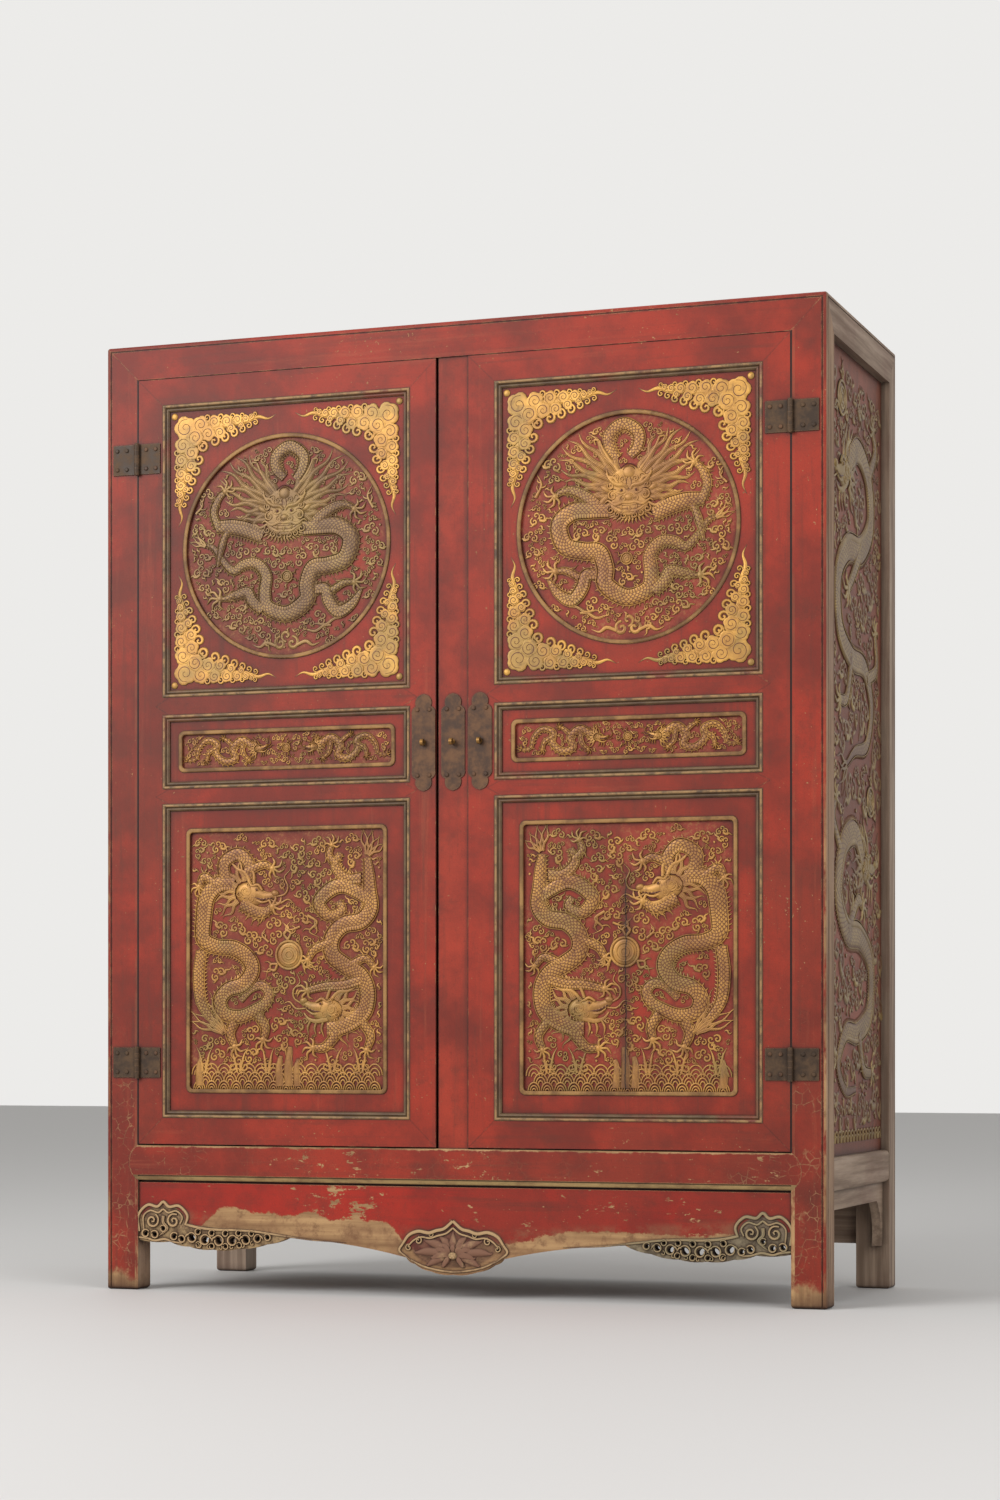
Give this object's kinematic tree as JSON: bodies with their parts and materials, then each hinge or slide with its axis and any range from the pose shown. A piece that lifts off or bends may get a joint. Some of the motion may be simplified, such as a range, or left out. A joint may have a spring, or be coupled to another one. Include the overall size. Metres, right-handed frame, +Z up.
{
  "type": "chinese wedding cabinet",
  "caption": "Tall red and gilt lacquer cabinet on post feet: mitred frame, panelled doors either side of a lift-out stile, carved aprons, shelf and drawers inside.",
  "frame": {"origin": "middle of the footprint on the floor, counting the lock eyes at the front", "axes": "+Z up, +X to the right seen from the front, -Y towards the front (doors open towards -Y)"},
  "size_m": [1.49, 0.5996, 1.9],
  "materials": {
    "red_lacquer": "worn red lacquer over wood, semi-matt",
    "worn_wood": "bare, greyed wood with traces of lacquer",
    "inside_wood": "plain unlacquered wood",
    "gilt": "worn gold leaf over lacquered wood",
    "dark_iron": "dark brown patinated iron, matt",
    "aged_brass": "dull aged brass"
  },
  "bodies": {
    "carcass": {"front_right_post": "red_lacquer", "front_left_post": "red_lacquer", "rear_right_post": "worn_wood", "rear_left_post": "worn_wood", "top_front_rail": "red_lacquer", "top_rear_rail": "worn_wood", "top_side_rails": "worn_wood", "top_boards": "worn_wood", "lower_front_rail": "red_lacquer", "lower_rear_rail": "worn_wood", "lower_side_rails": "worn_wood", "floor_boards": "inside_wood", "right_side_panel": "red_lacquer", "left_side_panel": "red_lacquer", "panel_battens": "inside_wood", "back_frame": "worn_wood", "back_panels": "worn_wood", "front_apron": "red_lacquer", "side_aprons": "worn_wood", "rear_apron": "worn_wood", "upper_shelf": "inside_wood", "drawer_deck": "inside_wood", "inner_bearers": "inside_wood", "drawer_rails": "red_lacquer", "drawer_divider": "inside_wood", "frame_hinge_leaves": "dark_iron", "hinge_pins": "dark_iron", "frame_hinge_nails": "dark_iron"},
    "left_door": {"left_hinge_stile": "red_lacquer", "left_meeting_stile": "red_lacquer", "left_rails": "red_lacquer", "left_mouldings": "gilt", "left_upper_panel": "red_lacquer", "left_middle_panel": "red_lacquer", "left_lower_panel": "red_lacquer", "left_hinge_leaves": "dark_iron", "left_lock_plate": "dark_iron", "left_lock_eye": "aged_brass", "left_nails": "dark_iron"},
    "right_door": {"right_hinge_stile": "red_lacquer", "right_meeting_stile": "red_lacquer", "right_rails": "red_lacquer", "right_mouldings": "gilt", "right_upper_panel": "red_lacquer", "right_middle_panel": "red_lacquer", "right_lower_panel": "red_lacquer", "right_hinge_leaves": "dark_iron", "right_lock_plate": "dark_iron", "right_lock_eye": "aged_brass", "right_nails": "dark_iron"},
    "stile": {"centre_stile": "red_lacquer", "centre_lock_plate": "dark_iron", "centre_lock_eye": "aged_brass", "centre_lock_nails": "dark_iron"},
    "left_drawer": {"left_drawer_front": "red_lacquer", "left_drawer_box": "inside_wood", "left_drawer_pull": "aged_brass"},
    "right_drawer": {"right_drawer_front": "red_lacquer", "right_drawer_box": "inside_wood", "right_drawer_pull": "aged_brass"}
  },
  "joints": [
    {"name": "left_door_swing", "type": "hinge", "parent": "carcass", "child": "left_door", "pos_m": [-0.6756, -0.29005, 1], "axis": [0, 0, -1], "range_deg": [0, 110]},
    {"name": "right_door_swing", "type": "hinge", "parent": "carcass", "child": "right_door", "pos_m": [0.6756, -0.29005, 1], "axis": [0, 0, 1], "range_deg": [0, 110]},
    {"name": "stile_lift", "type": "slide", "parent": "carcass", "child": "stile", "axis": [0, 0, 1], "range_m": [0, 0.014]},
    {"name": "left_drawer_slide", "type": "slide", "parent": "carcass", "child": "left_drawer", "axis": [0, -1, 0], "range_m": [0, 0.173]},
    {"name": "right_drawer_slide", "type": "slide", "parent": "carcass", "child": "right_drawer", "axis": [0, -1, 0], "range_m": [0, 0.173]}
  ],
  "couplings": [
    {"joint": "left_drawer_slide", "follows": "left_door_swing", "m_per_rad": 0.09},
    {"joint": "right_drawer_slide", "follows": "right_door_swing", "m_per_rad": 0.09}
  ]
}
